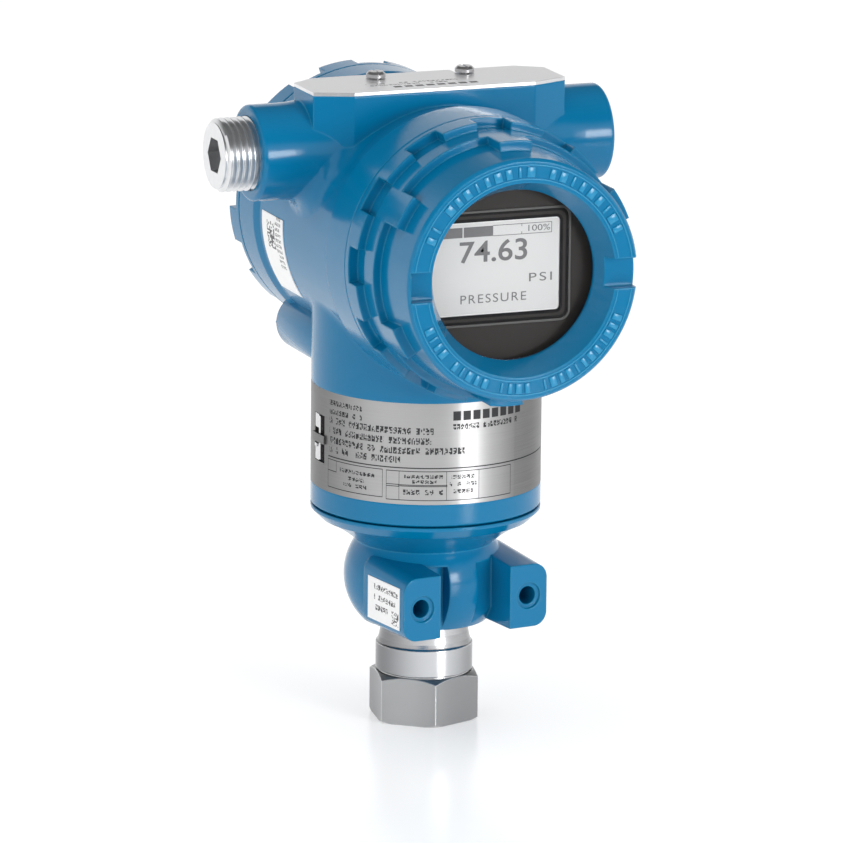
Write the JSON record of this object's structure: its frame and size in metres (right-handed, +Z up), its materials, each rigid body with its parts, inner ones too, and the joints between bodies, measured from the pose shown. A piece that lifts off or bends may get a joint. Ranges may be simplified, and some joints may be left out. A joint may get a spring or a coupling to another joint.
{
  "type": "pressure transmitter",
  "caption": "In-line pressure transmitter: round housing with display window, two screwed covers, conduit entries, name band, bracket arms and threaded process port.",
  "frame": {"origin": "centre of the process connector's bottom face", "axes": "+Z up along the neck, the display window faces -Y, the conduit entries lie along X"},
  "size_m": [0.1175, 0.1352, 0.1893],
  "materials": {
    "blue_paint": "semi-gloss blue",
    "connector_steel": "turned",
    "band_steel": "brushed",
    "screw_steel": "plain",
    "black_plastic": "moulded",
    "circuit_board": "plain",
    "screen_face": "polished",
    "window_glass": "clear",
    "seal_rubber": "plain",
    "label_film": "satin",
    "ribbon_film": "plain",
    "terminal_brass": "plated"
  },
  "bodies": {
    "lower_module": {"process_connector": "connector_steel", "isolating_diaphragm": "connector_steel", "sensor_module": "blue_paint", "sensor_cell": "connector_steel", "module_board": "circuit_board", "module_connector": "black_plastic", "neck_seal": "seal_rubber", "module_label": "label_film"},
    "upper_housing": {"housing": "blue_paint", "nameplate_band": "band_steel", "housing_label": "label_film", "cover_jam_screw": "screw_steel", "housing_lock_screw": "screw_steel", "plate_pivot_screw": "screw_steel", "plate_lock_screw": "screw_steel", "zero_button_spring": "screw_steel", "span_button_spring": "screw_steel", "display_bezel": "black_plastic", "display_screen": "screen_face", "display_board": "circuit_board", "display_standoff_upper": "screw_steel", "display_standoff_lower": "screw_steel", "display_screw_upper": "screw_steel", "display_screw_lower": "screw_steel", "electronics_unit": "black_plastic", "wall_feedthrough": "black_plastic", "sensor_ribbon": "ribbon_film", "terminal_block": "black_plastic", "terminal_clamp_left": "terminal_brass", "terminal_screw_left": "terminal_brass", "terminal_clamp_middle": "terminal_brass", "terminal_screw_middle": "terminal_brass", "terminal_clamp_right": "terminal_brass", "terminal_screw_right": "terminal_brass", "inner_ground_screw": "screw_steel", "external_ground_screw": "screw_steel", "external_ground_washer": "screw_steel"},
    "front_seal": {"front_cover_seal": "seal_rubber"},
    "front_cap": {"front_cover": "blue_paint", "front_cover_glass": "window_glass", "glass_bond_ring": "black_plastic"},
    "rear_seal": {"rear_cover_seal": "seal_rubber"},
    "rear_cap": {"rear_cover": "blue_paint"},
    "plug_seal": {"plug_thread_seal": "label_film"},
    "plug": {"conduit_plug": "connector_steel"},
    "cover_plate": {"top_plate": "band_steel"},
    "zero_key": {"zero_button": "black_plastic"},
    "span_key": {"span_button": "black_plastic"}
  },
  "joints": [
    {"name": "housing_rotation", "type": "hinge", "parent": "lower_module", "child": "upper_housing", "pos_m": [0, 0, 0.068], "axis": [0, 0, 1], "range_deg": [-180, 180]},
    {"name": "front_cover_travel", "type": "slide", "parent": "upper_housing", "child": "front_seal", "axis": [0, -1, 0], "range_m": [0, 0.01101]},
    {"name": "front_cover_turn", "type": "hinge", "parent": "front_seal", "child": "front_cap", "pos_m": [0, -0.0393, 0.1436], "axis": [0, -1, 0], "range_deg": [0, 1980]},
    {"name": "rear_cover_travel", "type": "slide", "parent": "upper_housing", "child": "rear_seal", "axis": [0, 1, 0], "range_m": [0, 0.01101]},
    {"name": "rear_cover_turn", "type": "hinge", "parent": "rear_seal", "child": "rear_cap", "pos_m": [0, 0.05025, 0.1436], "axis": [0, 1, 0], "range_deg": [0, 1980]},
    {"name": "conduit_plug_travel", "type": "slide", "parent": "upper_housing", "child": "plug_seal", "axis": [-1, 0, 0], "range_m": [0, 0.01814]},
    {"name": "conduit_plug_turn", "type": "hinge", "parent": "plug_seal", "child": "plug", "pos_m": [-0.0537, 0.0037, 0.1686], "axis": [-1, 0, 0], "range_deg": [0, 3600]},
    {"name": "top_plate_swing", "type": "hinge", "parent": "upper_housing", "child": "cover_plate", "pos_m": [-0.0136, 0.0072, 0.1868], "axis": [0, 0, 1], "range_deg": [-120, 0]},
    {"name": "zero_button_press", "type": "slide", "parent": "upper_housing", "child": "zero_key", "axis": [0, 0, -1], "range_m": [0, 0.002], "stiffness_N_per_m": 300, "springref_m": -0.001, "deforming": ["zero_button_spring"]},
    {"name": "span_button_press", "type": "slide", "parent": "upper_housing", "child": "span_key", "axis": [0, 0, -1], "range_m": [0, 0.002], "stiffness_N_per_m": 300, "springref_m": -0.001, "deforming": ["span_button_spring"]}
  ],
  "couplings": [
    {"joint": "front_cover_travel", "follows": "front_cover_turn", "m_per_rad": 0.00031831},
    {"joint": "rear_cover_travel", "follows": "rear_cover_turn", "m_per_rad": 0.00031831},
    {"joint": "conduit_plug_travel", "follows": "conduit_plug_turn", "m_per_rad": 0.00028871}
  ]
}
